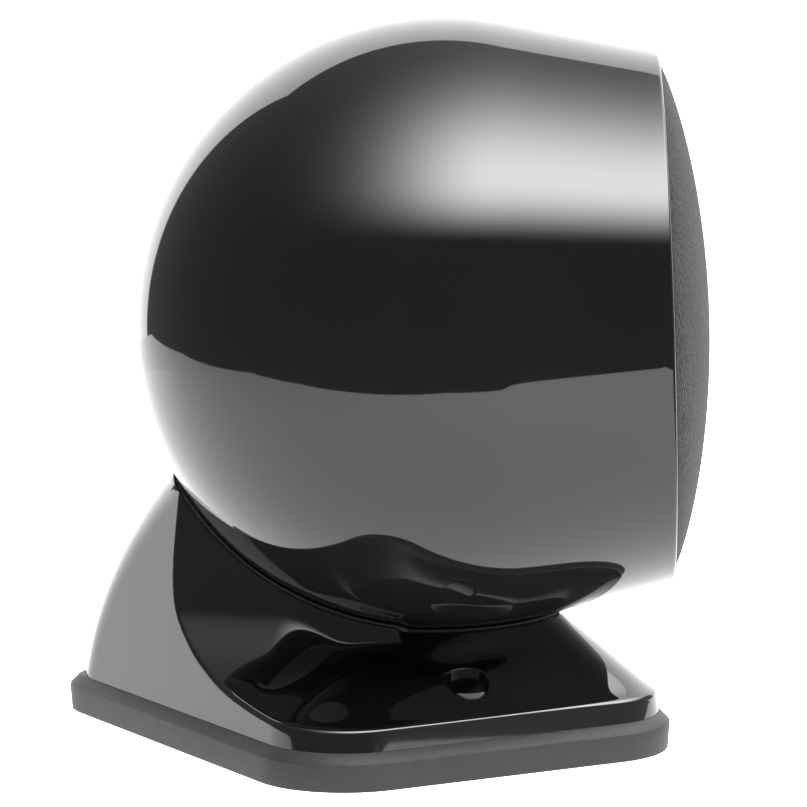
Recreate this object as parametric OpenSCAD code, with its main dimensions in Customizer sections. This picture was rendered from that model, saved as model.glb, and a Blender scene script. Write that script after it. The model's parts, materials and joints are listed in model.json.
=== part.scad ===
// Satellite loudspeaker: a spherical cabinet on a kite-shaped pan and tilt base.
// Frame: origin under the foot on the pan axis, +X towards the front of the base, +Z up.

/* [Ball cabinet] */
// Radius of the spherical cabinet
ball_r = 65; // [60:0.5:70]
// Height of the ball centre above the surface that the foot stands on
ball_z = 88.4; // [86:0.2:92]
// Wall thickness of the cabinet
shell_t = 3; // [2.5:0.1:3.5]
// Half angle of the cone that runs from the ball to the front rim
cone_half_angle = 12.8; // [12:0.1:14]
// Distance from the ball centre to the front rim
rim_z = 46.6; // [45:0.2:48]
// Pan of the cabinet from straight ahead, at rest
rest_pan = 21.5; // [-30:0.5:30]
// Upward tilt of the cabinet, at rest
rest_tilt = 2; // [0:0.5:4]

/* [Grille and driver] */
// Outer radius of the grille
grille_r = 54.6; // [54:0.1:54.8]
// Height of the domed grille above its own edge
grille_h = 9.8; // [8:0.2:11]
// Thickness of the grille cloth and mesh
grille_t = 1.2; // [0.8:0.1:1.6]
// Radius of the driver's mounting flange
flange_r = 50.5; // [49:0.5:51]
// Radius of the voice coil former
coil_r = 12.6; // [12:0.1:13]
// Outer radius of the ferrite magnet
magnet_r = 36; // [32:1:38]

/* [Base plan] */
// Distance from the pan axis to the pointed front of the outline
front_x = 55.2; // [53:0.2:58]
// Distance from the pan axis to each side point of the outline
side_y = 71.8; // [68:0.2:74]
// Distance from the pan axis to the rear point of the outline
rear_x = 95; // [90:0.5:98]
// Corner radius at the front
front_r = 20; // [14:1:24]
// Corner radius at the sides
side_r = 20; // [14:1:24]
// Corner radius at the rear
rear_r = 11; // [10:0.5:16]

/* [Foot and cover] */
// Height of the rubber foot
foot_h = 7.8; // [7:0.1:9]
// Width of the chamfer round the top of the foot
foot_chamfer = 2.2; // [1.5:0.1:3]
// Height of the cover's edge above the foot
skirt_h = 2.2; // [1.8:0.1:3]
// Draft of the cover's outer wall
wall_draft = 5; // [3:0.5:7]
// Wall thickness of the cover
cover_t = 2.6; // [2:0.1:3]
// Gap between the ball and the cup in the cover
cup_gap = 1.2; // [1.1:0.1:2]
// Half width of the hump behind the ball
hump_half_w = 26.5; // [24:0.5:30]

/* [Fixings] */
// Distance of the two mounting screws ahead of the pan axis
hole_x = 17; // [15:0.5:19]
// Distance of each mounting screw from the centre line
hole_y = 29.5; // [28:0.5:31]
// Radius of the mounting screw holes
hole_r = 2.5; // [2.2:0.1:2.8]
// Radius of the countersink for the screw heads
head_r = 4.65; // [4.2:0.05:5]
// Radius of the clamp stem
stem_r = 6; // [5:0.5:7]

/* [Hidden] */
$fn = 96;

glossy_black = [0.05, 0.05, 0.055];
soft_black = [0.12, 0.12, 0.13];
steel = [0.62, 0.63, 0.65];
brass = [0.78, 0.62, 0.3];

// Base plan: a kite with rounded corners, given by its radius at each polar angle
front_normal = atan2(front_x, side_y);
rear_normal = 180 - atan2(rear_x, side_y);
front_c = front_x * cos(front_normal);
rear_c = -rear_x * cos(rear_normal);

cover_inset = foot_chamfer + 0.2;
skirt_z = foot_h + skirt_h;
seat_edge_r = 24;
seat_rise = 14.5;
front_rise = 4;
climb_power = 0.9;
cup_r = ball_r + cup_gap;
apex_growth = 0.0115;
plate_r = 29;
plate_h = 6;
plate_top = foot_h + plate_h;
boss_r = head_r + 1.6;

// Stem and clamp stack
run_gap = 0.05;
saddle_r = ball_r - shell_t - 0.35;
saddle_top = 30;
washer_t = 1.2;
nut_h = 5;
slot_half_w = stem_r + 0.5;
slot_low = -2;
slot_high = -16;

// Terminals
term_x = -58;
term_y = 6;
button_r = 3.4;
button_travel = 1.8;

// Driver stack, measured forwards from the ball centre
tangent_z = ball_r * sin(cone_half_angle);
tangent_r = ball_r * cos(cone_half_angle);
rim_r = tangent_r - (rim_z - tangent_z) * tan(cone_half_angle);
baffle_z = 36;
baffle_t = 4;
baffle_front = baffle_z + baffle_t;
gasket_t = 0.8;
flange_z = baffle_front + gasket_t;
flange_t = 2;
flange_front = flange_z + flange_t;
basket_back = 12;
plate_z = 6;
magnet_z = -8;
yoke_z = -14;
cone_throat_z = 24;
cone_edge_r = 37;
roll_r = 2.75;
board_z = -30;

// Polar angles of the base loops, closer together where the hump's flanks are
half_angles = [for (a = [0:4:144]) a, for (a = [146:1:156]) a, for (a = [160:4:176]) a];
loop_angles = [for (a = half_angles) a, 180,
               for (i = [len(half_angles) - 1:-1:1]) 360 - half_angles[i]];

function fold(a) = a > 180 ? 360 - a : a;

// Radius of a corner circle centred at distance c along an axis, seen at angle a from it
function corner_hit(c, q, a) = c * cos(a) + sqrt(max(0, q * q - pow(c * sin(a), 2)));

// Radius of the kite outline at polar angle a, inset by e, with corner radii qf, qs and qr
function kite_r(a, e, qf, qs, qr) =
    let (t = fold(a), nf = front_normal, nr = rear_normal, back = 180 - nr,
         cf = (front_c - e - qf) / cos(nf), cb = (rear_c - e - qr) / cos(back),
         a_front = atan2(qf * sin(nf), cf + qf * cos(nf)),
         a_back = 180 - atan2(qr * sin(back), cb + qr * cos(back)),
         p = front_c - e - qs, r = rear_c - e - qs,
         ox = (p * sin(nr) - r * sin(nf)) / sin(nr - nf),
         oy = (r * cos(nf) - p * cos(nr)) / sin(nr - nf),
         a_side1 = atan2(oy + qs * sin(nf), ox + qs * cos(nf)),
         a_side2 = atan2(oy + qs * sin(nr), ox + qs * cos(nr)),
         along = ox * cos(t) + oy * sin(t))
    t < a_front ? corner_hit(cf, qf, t)
    : t < a_side1 ? (front_c - e) / cos(t - nf)
    : t < a_side2 ? along + sqrt(max(0, qs * qs - ox * ox - oy * oy + along * along))
    : t < a_back ? (rear_c - e) / cos(t - nr)
    : corner_hit(cb, qr, 180 - t);

function plan_r(a, e) =
    kite_r(a, e, max(front_r - e, 4), max(side_r - e, 4), max(rear_r - e, 4));

// Outer wall of the cover: it leans in, and its rear corner opens out with height
function wall_r(a, z, off) =
    let (rise = z - foot_h, e = cover_inset + off + rise * tan(wall_draft))
    kite_r(a, e, front_r - cover_inset, side_r - cover_inset,
           rear_r + apex_growth * rise * rise);

// Cup under the ball
function cup_z(r, off) = ball_z - sqrt(pow(cup_r + off, 2) - pow(min(r, cup_r + off - 0.5), 2));

// Pedestal that climbs from the cover's edge to the seat
function pedestal_z(a, r) =
    let (edge = plan_r(a, cover_inset),
         s = max(0, (edge - r) / (edge - seat_edge_r)),
         rise = seat_rise + front_rise * pow(max(0, cos(a)), 2))
    skirt_z + rise * pow(s, climb_power);

// Flanks of the hump: steep beside the ball, then a long fillet out to the side corners
function fade(x) = let (t = min(1, max(0, (5 - x) / 30))) t * t * (3 - 2 * t);
function flank_z(x, y) =
    let (d = abs(y) - hump_half_w)
    skirt_z + 1 + fade(x) * min(200, 22.9 * exp(-d / 11) + 25 * exp(-d / 0.8));
function soft_max(a, b) = (a + b + sqrt(pow(a - b, 2) + 9)) / 2;

function top_z(a, r, off) =
    let (x = r * cos(a), y = r * sin(a),
         open = soft_max(pedestal_z(a, r), flank_z(x, abs(y) + off)) - off)
    max(foot_h + (off > 0 ? 0.4 : 1), min(open, cup_z(r, off)));

// Height at which the wall meets the top surface, by bisection
function ridge_z(a, off, lo, hi, n) =
    let (mid = (lo + hi) / 2)
    n == 0 ? mid
    : top_z(a, wall_r(a, mid, off), off) > mid ? ridge_z(a, off, mid, hi, n - 1)
    : ridge_z(a, off, lo, mid, n - 1);

wall_steps = [0, 0.3, 0.55, 0.8, 1];
top_steps = [0.04, 0.1, 0.18, 0.28, 0.4, 0.52, 0.64, 0.76, 0.88, 1];
hub_r = 11;

// One column of points from the cover's bottom edge, over the ridge, to the hub
function column(a, off, z0) =
    let (zr = ridge_z(a, off, foot_h, 66, 18), re = wall_r(a, zr, off))
    [for (s = wall_steps) let (z = z0 + (zr - z0) * s, r = wall_r(a, z, off))
        [r * cos(a), r * sin(a), z],
     for (s = top_steps) let (r = re + (hub_r - re) * s)
        [r * cos(a), r * sin(a), top_z(a, r, off)]];

// Loft through loops that all have the same number of points, with flat ends
module skin(loops) {
    m = len(loops);
    n = len(loops[0]);
    polyhedron(
        points = [for (l = loops) for (p = l) p],
        faces = concat(
            [[for (i = [0:n - 1]) i]],
            [for (k = [0:m - 2]) for (i = [0:n - 1]) let (j = (i + 1) % n)
                [k * n + i, (k + 1) * n + i, (k + 1) * n + j]],
            [for (k = [0:m - 2]) for (i = [0:n - 1]) let (j = (i + 1) % n)
                [k * n + i, (k + 1) * n + j, k * n + j]],
            [[for (i = [n - 1:-1:0]) (m - 1) * n + i]]));
}

module cover_solid(off, z0) {
    columns = [for (a = loop_angles) column(a, off, z0)];
    skin([for (k = [0:len(columns[0]) - 1]) [for (c = columns) c[k]]]);
}

function plan_loop(e, z) =
    [for (a = loop_angles) let (r = plan_r(a, e)) [r * cos(a), r * sin(a), z]];

module ring(r_out, r_in, h) {
    difference() {
        cylinder(r = r_out, h = h);
        translate([0, 0, -1]) cylinder(r = r_in, h = h + 2);
    }
}

module at_mount_holes() {
    for (side = [-1, 1])
        translate([hole_x, side * hole_y, 0]) children();
}

cover_screw_places = [[-72, 0], [-14, 42], [-14, -42], [36, 0]];
module at_cover_screws() {
    for (p = cover_screw_places)
        translate([p[0], p[1], 0]) children();
}

// Places its children in the cabinet's frame: +Z forwards along the ball axis, +X down
module aim() {
    translate([0, 0, ball_z])
        rotate([0, 0, rest_pan])
            rotate([0, 90 - rest_tilt, 0])
                children();
}

// Places its children on the pan axis, turned with the cabinet
module on_swivel() {
    rotate([0, 0, rest_pan]) children();
}

// ---------- Base ----------

module foot_pad() {
    color(soft_black)
        difference() {
            skin([plan_loop(0.4, 0), plan_loop(0, foot_h - 2), plan_loop(foot_chamfer, foot_h)]);
            at_mount_holes() translate([0, 0, -1]) cylinder(r = hole_r, h = foot_h + 2, $fn = 32);
            at_cover_screws() {
                translate([0, 0, -1]) cylinder(r = 3.4, h = 5, $fn = 32);
                cylinder(r = 1.7, h = foot_h + 1, $fn = 32);
            }
            translate([term_x - 9, -14, -1]) cube([18, 28, foot_h + 2]);
            translate([term_x - 3.5, 0, -1]) cube([7, 60, 6]);
            translate([0, 0, foot_h - 0.8]) cylinder(r = 13, h = 2);
        }
}

module base_plate() {
    color(steel)
        translate([0, 0, foot_h])
            difference() {
                cylinder(r = plate_r, h = plate_h);
                translate([0, 0, -1]) cylinder(r = 8, h = plate_h + 2);
                translate([0, 0, -1]) cylinder(r = 10.4, h = 2.4);
                translate([0, 0, -foot_h])
                    at_mount_holes() cylinder(r = boss_r + 0.1, h = 40, $fn = 48);
            }
}

module base_cover() {
    color(glossy_black)
        difference() {
            cover_solid(0, foot_h);
            difference() {
                cover_solid(cover_t, foot_h - 1);
                at_mount_holes() cylinder(r = boss_r, h = 40, $fn = 48);
                at_cover_screws() cylinder(r = 3.6, h = 40, $fn = 48);
            }
            at_mount_holes() {
                cylinder(r = hole_r, h = 40, $fn = 48);
                translate([0, 0, skirt_z + 4]) cylinder(r1 = hole_r, r2 = head_r, h = 2.4, $fn = 48);
                translate([0, 0, skirt_z + 6.4]) cylinder(r = head_r, h = 20, $fn = 48);
            }
            at_cover_screws() cylinder(r = 1.25, h = foot_h + 2, $fn = 24);
            translate([0, 0, foot_h]) cylinder(r = 9.5, h = 30);
        }
}

module cover_screws() {
    color(steel)
        at_cover_screws() {
            translate([0, 0, 1.8]) cylinder(r = 3, h = 2.1, $fn = 32);
            translate([0, 0, 3.9]) cylinder(r = 1.2, h = foot_h - 2.1, $fn = 24);
        }
}

module stem_bushing() {
    color([0.9, 0.9, 0.86])
        difference() {
            union() {
                translate([0, 0, plate_top]) cylinder(r = 9.4, h = 21.6 - plate_top);
                translate([0, 0, foot_h + 1.5]) cylinder(r = 7.9, h = plate_h);
            }
            cylinder(r = stem_r + run_gap, h = 60);
        }
}

module seat_ring() {
    color([0.2, 0.2, 0.2])
        difference() {
            translate([0, 0, ball_z]) sphere(r = cup_r - 0.15);
            translate([0, 0, ball_z]) sphere(r = ball_r + 0.35);
            translate([0, 0, -cup_r]) cylinder(r = 12.5, h = 2 * cup_r);
            difference() {
                translate([0, 0, -cup_r]) cylinder(r = 2 * ball_r, h = 6 * ball_r);
                cylinder(r = 18.5, h = ball_z / 2);
            }
        }
}

module terminal_housing() {
    color(soft_black)
        difference() {
            translate([term_x - 8.5, -13.5, 3]) cube([17, 27, 11]);
            for (side = [-1, 1])
                translate([term_x, side * term_y, -1]) {
                    cylinder(r = button_r + 0.35, h = 13, $fn = 48);
                    translate([-1.1, side * 4.5 - 1, 0]) cube([2.2, 2, 11]);
                    translate([-0.7, side * 4.6 - 0.5, 0]) cube([1.4, 1, 16]);
                }
        }
}

module terminal_contacts() {
    color(brass)
        for (side = [-1, 1])
            translate([term_x - 0.6, side * (term_y + 4.6) - 0.4, 4]) cube([1.2, 0.8, 13]);
}

module terminal_spring(side) {
    color(steel)
        translate([term_x, side * term_y, 8.6]) ring(2.6, 1.9, 3.2, $fn = 32);
}

module terminal_spring_left() {
    terminal_spring(1);
}

module terminal_spring_right() {
    terminal_spring(-1);
}

module terminal_button(side) {
    translate([term_x, side * term_y, 0])
        difference() {
            translate([0, 0, 1.2]) cylinder(r = button_r, h = 7.2, $fn = 48);
            translate([0, 0, 5.2]) rotate([90, 0, 0]) cylinder(r = 0.9, h = 2 * button_r + 2,
                                                              center = true, $fn = 24);
        }
}

module terminal_button_left() {
    color([0.65, 0.1, 0.08]) terminal_button(1);
}

module terminal_button_right() {
    color([0.1, 0.1, 0.1]) terminal_button(-1);
}

// ---------- Swivel ----------

module clamp_stem() {
    color(steel)
        difference() {
            union() {
                translate([0, 0, foot_h - 0.4]) cylinder(r = 10, h = 1.6);
                translate([0, 0, foot_h]) cylinder(r = stem_r, h = 38 - foot_h);
            }
            cylinder(r = 1.8, h = 60, $fn = 24);
        }
}

module clamp_saddle() {
    color(steel)
        on_swivel()
            difference() {
                union() {
                    intersection() {
                        difference() {
                            translate([0, 0, ball_z]) sphere(r = saddle_r);
                            translate([0, 0, ball_z]) sphere(r = saddle_r - 2);
                        }
                        cylinder(r = 16, h = ball_z / 2);
                    }
                    intersection() {
                        translate([0, 0, ball_z]) sphere(r = saddle_r);
                        cylinder(r = 10, h = saddle_top);
                    }
                }
                cylinder(r = stem_r, h = 60);
            }
}

module spring_washer() {
    color([0.4, 0.4, 0.42])
        translate([0, 0, saddle_top]) ring(9.6, stem_r, washer_t);
}

module clamp_nut() {
    color(brass)
        translate([0, 0, saddle_top + washer_t])
            difference() {
                cylinder(r = 10, h = nut_h, $fn = 6);
                translate([0, 0, -1]) cylinder(r = stem_r, h = nut_h + 2);
            }
}

// ---------- Cabinet ----------

// Arc of the ball's section, from the back pole to where the tangent cone starts
function ball_arc(r) = let (last = 90 + cone_half_angle, steps = 36)
    [for (i = [0:steps]) [r * sin(last * i / steps), -r * cos(last * i / steps)]];

function reversed(list) = [for (i = [len(list) - 1:-1:0]) list[i]];

// Slot through the bottom of the ball, where the stem comes in: it spans the tilt's travel
module stem_slot() {
    reach = ball_r * sin((slot_low - slot_high) / 2);
    rotate([0, 90 - (slot_low + slot_high) / 2, 0])
        translate([0, 0, ball_r - 12]) {
            for (end = [-reach, reach])
                translate([end, 0, 0]) cylinder(r = slot_half_w, h = 17, $fn = 48);
            translate([-reach, 0.1 - slot_half_w, 0]) cube([2 * reach, 2 * slot_half_w - 0.2, 17]);
        }
}

module ball_shell() {
    inner_r = ball_r - shell_t;
    recess_r = grille_r + 0.2;
    inner_tangent_z = inner_r * sin(cone_half_angle);
    inner_foot = inner_r * cos(cone_half_angle);
    ledge_r = inner_foot - (baffle_front - inner_tangent_z) * tan(cone_half_angle);
    color(glossy_black)
        aim()
            difference() {
                rotate_extrude()
                    polygon(concat(ball_arc(ball_r), [[rim_r, rim_z], [recess_r, rim_z]],
                                   [[recess_r, baffle_front], [ledge_r, baffle_front]],
                                   reversed(ball_arc(inner_r))));
                stem_slot();
            }
}

module baffle_ring() {
    color(soft_black)
        aim()
            difference() {
                translate([0, 0, baffle_z]) ring(54.3, 45.2, baffle_t);
                at_driver_screws() translate([0, 0, baffle_z - 1]) cylinder(r = 1.45, h = 6, $fn = 24);
            }
}

module grille_ring() {
    color(soft_black)
        aim()
            translate([0, 0, baffle_front]) ring(grille_r, grille_r - 3.2, rim_z - 0.8 - baffle_front);
}

// Height of the grille's outer surface above its edge, at radius r
function dome_z(r) = grille_h * pow(max(0, 1 - pow(r / grille_r, 2)), 0.8);

module grille_dome() {
    steps = 22;
    radii = [for (i = [0:steps]) grille_r * sin(90 * i / steps)];
    inner = grille_r - grille_t;
    color([0.25, 0.25, 0.26])
        aim()
            translate([0, 0, rim_z - 0.6])
                rotate_extrude()
                    polygon([for (r = radii) [r, dome_z(r) + 0.01], [grille_r, -0.2], [inner, -0.2],
                             for (i = [steps:-1:0]) let (r = radii[i] * inner / grille_r)
                                [r, dome_z(r * grille_r / inner) - grille_t * cos(90 * i / steps)]]);
}

// ---------- Driver ----------

module driver_gasket() {
    color([0.15, 0.15, 0.15])
        aim()
            difference() {
                translate([0, 0, baffle_front]) ring(flange_r - 0.5, 45.6, gasket_t);
                at_driver_screws() translate([0, 0, baffle_z]) cylinder(r = 1.7, h = 10, $fn = 24);
            }
}

module at_driver_screws() {
    for (a = [45:90:315])
        rotate([0, 0, a]) translate([47.8, 0, 0]) children();
}

module driver_basket() {
    z_ring = basket_back + 2;
    length = flange_z - z_ring;
    color([0.18, 0.18, 0.19])
        aim()
            difference() {
                union() {
                    translate([0, 0, flange_z]) cylinder(r = flange_r, h = flange_t);
                    translate([0, 0, basket_back]) cylinder(r = 28, h = 2);
                    translate([0, 0, z_ring]) cylinder(r1 = 28, r2 = 44.8, h = length);
                }
                translate([0, 0, z_ring]) cylinder(r1 = 26.2, r2 = 43, h = length + 0.01);
                translate([0, 0, flange_z - 1]) cylinder(r = 43, h = flange_t + 2);
                translate([0, 0, basket_back - 1]) cylinder(r = 15, h = 4);
                for (a = [0:60:300])
                    rotate([0, 0, a + 15]) translate([20, -9, z_ring + 7]) cube([30, 18, 15]);
                at_driver_screws() translate([0, 0, flange_z - 1]) cylinder(r = 1.7, h = 5, $fn = 24);
            }
}

module driver_screws() {
    color(steel)
        aim()
            at_driver_screws() {
                translate([0, 0, flange_front]) cylinder(r = 2.6, h = 1.8, $fn = 32);
                translate([0, 0, flange_front - 9]) cylinder(r = 1.4, h = 9, $fn = 24);
            }
}

module front_plate() {
    color(steel)
        aim()
            translate([0, 0, plate_z]) ring(30, coil_r + 0.9, basket_back - plate_z);
}

module magnet() {
    color([0.16, 0.16, 0.17])
        aim()
            translate([0, 0, magnet_z]) ring(magnet_r, coil_r + 4.4, plate_z - magnet_z);
}

module yoke() {
    color(steel)
        aim()
            difference() {
                union() {
                    translate([0, 0, yoke_z]) cylinder(r = 30, h = magnet_z - yoke_z);
                    translate([0, 0, magnet_z]) cylinder(r = coil_r - 1, h = basket_back - magnet_z);
                }
                translate([0, 0, yoke_z - 1]) cylinder(r = 3, h = 40);
            }
}

module driver_terminals() {
    color(brass)
        aim()
            for (side = [-1, 1])
                translate([-33.5, side * 4 - 1.2, plate_z + 1]) cube([3.4, 2.4, 4]);
}

module board_standoffs() {
    color(brass)
        aim()
            for (side = [-1, 1])
                translate([0, side * 14, board_z + 1.6]) cylinder(r = 2.5, h = yoke_z - board_z - 1.6,
                                                                 $fn = 6);
}

module filter_board() {
    color([0.1, 0.35, 0.2])
        aim()
            translate([-15, -20, board_z]) cube([30, 40, 1.6]);
}

module filter_capacitor() {
    color([0.75, 0.6, 0.15])
        aim()
            translate([-6, -12, board_z - 6.6]) rotate([-90, 0, 0]) cylinder(r = 6.5, h = 24, $fn = 48);
}

module filter_coil() {
    color([0.72, 0.36, 0.16])
        aim()
            translate([8.5, 0, board_z - 9]) ring(6, 2.5, 8.9);
}

module damping_pad() {
    color([0.82, 0.82, 0.8])
        aim()
            rotate_extrude()
                polygon([for (t = [0:5:55]) let (r = ball_r - shell_t - 0.3) [r * sin(t), -r * cos(t)],
                         for (t = [55:-5:0]) let (r = ball_r - shell_t - 8) [r * sin(t), -r * cos(t)]]);
}

module surround() {
    roll = cone_edge_r + roll_r;
    color([0.1, 0.1, 0.1])
        aim()
            translate([0, 0, flange_front])
                rotate_extrude()
                    polygon([[cone_edge_r - 1.5, 0.6], [cone_edge_r - 1.5, 0.05],
                             for (t = [180:-20:0]) [roll + (roll_r - 0.7) * cos(t), 0.05 + (roll_r - 0.7) * sin(t)],
                             [44.6, 0.05], [44.6, 0.75],
                             for (t = [10:20:170]) [roll + roll_r * cos(t), 0.05 + roll_r * sin(t)]]);
}

module spider() {
    waves = 3;
    inner = coil_r + 0.3;
    width = 25.5 - inner;
    steps = 24;
    color([0.75, 0.6, 0.35])
        aim()
            translate([0, 0, 17])
                rotate_extrude()
                    polygon([for (i = [0:steps]) [inner + width * i / steps, 0.8 * sin(360 * waves * i / steps)],
                             for (i = [steps:-1:0])
                                [inner + width * i / steps, 0.8 * sin(360 * waves * i / steps) + 0.6]]);
}

// ---------- Moving assembly of the driver ----------

module speaker_cone() {
    depth = flange_front - cone_throat_z;
    color([0.13, 0.13, 0.14])
        aim()
            translate([0, 0, cone_throat_z])
                difference() {
                    cylinder(r1 = coil_r + 1, r2 = cone_edge_r, h = depth);
                    translate([0, 0, -0.01]) cylinder(r1 = coil_r + 0.05, r2 = cone_edge_r - 0.95,
                                                      h = depth + 0.02);
                }
}

module dust_cap() {
    cap = 18;
    lift = cap - 5;
    color([0.1, 0.1, 0.11])
        aim()
            translate([0, 0, 29 - lift])
                difference() {
                    sphere(r = cap);
                    sphere(r = cap - 0.8);
                    translate([0, 0, lift - 2 * cap]) cylinder(r = 2 * cap, h = 2 * cap);
                }
}

module voice_coil() {
    color([0.72, 0.36, 0.16])
        aim() {
            translate([0, 0, 2]) ring(coil_r, coil_r - 0.4, cone_throat_z);
            translate([0, 0, 5]) ring(coil_r + 0.5, coil_r, 8);
        }
}

foot_pad();
base_plate();
base_cover();
cover_screws();
stem_bushing();
seat_ring();
terminal_housing();
terminal_contacts();
terminal_spring_left();
terminal_spring_right();
terminal_button_left();
terminal_button_right();
clamp_stem();
clamp_saddle();
spring_washer();
clamp_nut();
ball_shell();
baffle_ring();
grille_ring();
grille_dome();
driver_gasket();
driver_basket();
driver_screws();
front_plate();
magnet();
yoke();
driver_terminals();
board_standoffs();
filter_board();
filter_capacitor();
filter_coil();
damping_pad();
surround();
spider();
speaker_cone();
dust_cap();
voice_coil();
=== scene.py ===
"""Looks of the spherical satellite loudspeaker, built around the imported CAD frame.

Lengths in this file are millimetres until a mesh is made. The row frame is the CAD's: origin
under the foot on the pan axis, +X to the front of the base, +Z up.
"""

import json
import math

import bmesh
import bpy
import numpy as np
from mathutils import Matrix, Vector
from mathutils.noise import noise as noise_at


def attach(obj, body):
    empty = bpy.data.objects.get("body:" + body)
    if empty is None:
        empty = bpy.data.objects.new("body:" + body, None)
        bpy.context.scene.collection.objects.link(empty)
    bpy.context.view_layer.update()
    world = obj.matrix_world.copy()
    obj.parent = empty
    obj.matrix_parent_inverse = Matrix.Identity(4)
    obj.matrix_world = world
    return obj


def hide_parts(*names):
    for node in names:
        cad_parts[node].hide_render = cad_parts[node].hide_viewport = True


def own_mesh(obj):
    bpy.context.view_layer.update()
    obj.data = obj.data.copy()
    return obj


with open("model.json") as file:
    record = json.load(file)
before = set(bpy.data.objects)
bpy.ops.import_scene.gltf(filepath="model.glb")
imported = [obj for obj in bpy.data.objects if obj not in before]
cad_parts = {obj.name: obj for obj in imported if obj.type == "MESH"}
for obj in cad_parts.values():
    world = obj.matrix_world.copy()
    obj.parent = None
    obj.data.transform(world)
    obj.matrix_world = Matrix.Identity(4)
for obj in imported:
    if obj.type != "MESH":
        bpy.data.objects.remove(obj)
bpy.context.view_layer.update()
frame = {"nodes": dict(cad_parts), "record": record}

MM = 0.001
IMAGE_PX = 807

# The CAD's own values, as in part.scad
BALL_R, BALL_Z, SHELL_T = 65.0, 88.4, 3.0
CONE_HALF = math.radians(12.8)
RIM_Z, REST_PAN, REST_TILT = 46.6, 21.5, 2.0
GRILLE_R, GRILLE_H, GRILLE_T = 54.6, 9.8, 1.2
FRONT_X, SIDE_Y, REAR_X = 55.2, 71.8, 95.0
FRONT_R, SIDE_R, REAR_R = 20.0, 20.0, 11.0
FOOT_H, FOOT_CHAMFER, SKIRT_H = 7.8, 2.2, 2.2
DRAFT, COVER_T, CUP_R, HUMP_HALF = math.radians(5), 2.6, 66.2, 26.5
HOLE_X, HOLE_Y, HOLE_R, HEAD_R = 17.0, 29.5, 2.5, 4.65
INSET = FOOT_CHAMFER + 0.2
SKIRT_Z = FOOT_H + SKIRT_H
SEAT_EDGE_R, SEAT_RISE, FRONT_RISE, CLIMB = 24.0, 14.5, 4.0, 0.9
FLANK_FADE_X, FLANK_FADE_LENGTH, FLANK_BASE, FLANK_CAP = 5, 30, 1, 200
FILLET_RISE, FILLET_LENGTH = 22.9, 11
STEEP_RISE, STEEP_LENGTH = 25, 0.8
SOFT_MAX_WIDTH_SQUARED = 9
APEX_GROWTH = 0.0115
TANGENT_Z = BALL_R * math.sin(CONE_HALF)
TANGENT_R = BALL_R * math.cos(CONE_HALF)
RIM_R = TANGENT_R - (RIM_Z - TANGENT_Z) * math.tan(CONE_HALF)
BAFFLE_FRONT = 40.0
TERM_X, TERM_Y = -58.0, 6.0
SCREW_PLACES = [(-72, 0), (-14, 42), (-14, -42), (36, 0)]

# Detail that only this file has
HUB_R = 9.5
FELT_T, FELT_START_R, FELT_EDGE_BACK = 0.75, 12.5, 0.5
HOLLOW, HOLLOW_AT, HOLLOW_WIDE = 2.4, math.radians(62), math.radians(24)
HOLLOW_CENTRE, HOLLOW_LENGTH = 0.8, 0.17
SKIRT_ROUND, RIDGE_ROUND, CRISP_ROUND = 2.0, 1.0, 0.12
SKIRT_TO_RIDGE_Z, SKIRT_TO_RIDGE_H = 13, 5
RIDGE_TO_CUP_Z, RIDGE_TO_CUP_H = 20, 6

# The photograph's viewing angle, from the outlines of the ball, the rim, the cover and the foot
CAMERA_AZIMUTH, CAMERA_PITCH = math.radians(22.76), math.radians(7.26)
FOCAL_PX, CAMERA_DISTANCE = 4371.5, 921.9
BALL_PX, BALL_PY = 443.6, 323.0

AIM = (
    Matrix.Translation((0, 0, BALL_Z))
    @ Matrix.Rotation(math.radians(REST_PAN), 4, "Z")
    @ Matrix.Rotation(math.radians(90 - REST_TILT), 4, "Y")
)


# ---------- Camera ----------

def place_camera():
    azimuth, pitch, middle = CAMERA_AZIMUTH, CAMERA_PITCH, IMAGE_PX / 2
    forward = Vector((-math.sin(azimuth) * math.cos(pitch), math.cos(azimuth) * math.cos(pitch),
                      -math.sin(pitch)))
    right = Vector((math.cos(azimuth), math.sin(azimuth), 0))
    up = right.cross(forward)
    across, rise = (BALL_PX - middle) / FOCAL_PX, (middle - BALL_PY) / FOCAL_PX
    centre = Vector((0, 0, BALL_Z))
    data = bpy.data.cameras.new("photo_camera")
    data.sensor_width = 36
    data.lens = FOCAL_PX / IMAGE_PX * data.sensor_width
    data.clip_start, data.clip_end = 0.05, 50
    cam = bpy.data.objects.new("photo_camera", data)
    bpy.context.scene.collection.objects.link(cam)
    turn = Matrix((right, up, -forward)).transposed()
    cam.rotation_mode = "QUATERNION"
    cam.rotation_quaternion = turn.to_quaternion()
    cam.location = (centre - CAMERA_DISTANCE * (forward + across * right + rise * up)) * MM
    bpy.context.scene.camera = cam


# ---------- Mesh helpers ----------

def make(name, verts, faces, body, mat, stands_for, sharp_deg=35):
    """A piece from points in millimetres in the row frame."""
    mesh = bpy.data.meshes.new(name)
    mesh.from_pydata([Vector(v) * MM for v in verts], [], faces)
    mesh.validate()
    finish_mesh(mesh, True, sharp_deg)
    obj = bpy.data.objects.new(name, mesh)
    bpy.context.scene.collection.objects.link(obj)
    dress(obj, body, mat, stands_for)
    return obj


def finish_mesh(mesh, smooth=True, sharp_deg=35):
    bm = bmesh.new()
    bm.from_mesh(mesh)
    bmesh.ops.remove_doubles(bm, verts=bm.verts, dist=2e-6)
    bmesh.ops.dissolve_degenerate(bm, edges=bm.edges, dist=1e-7)
    bmesh.ops.recalc_face_normals(bm, faces=bm.faces)
    bm.to_mesh(mesh)
    bm.free()
    if smooth:
        mesh.shade_smooth()
        mesh.set_sharp_from_angle(angle=math.radians(sharp_deg))
    else:
        mesh.shade_flat()


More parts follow.
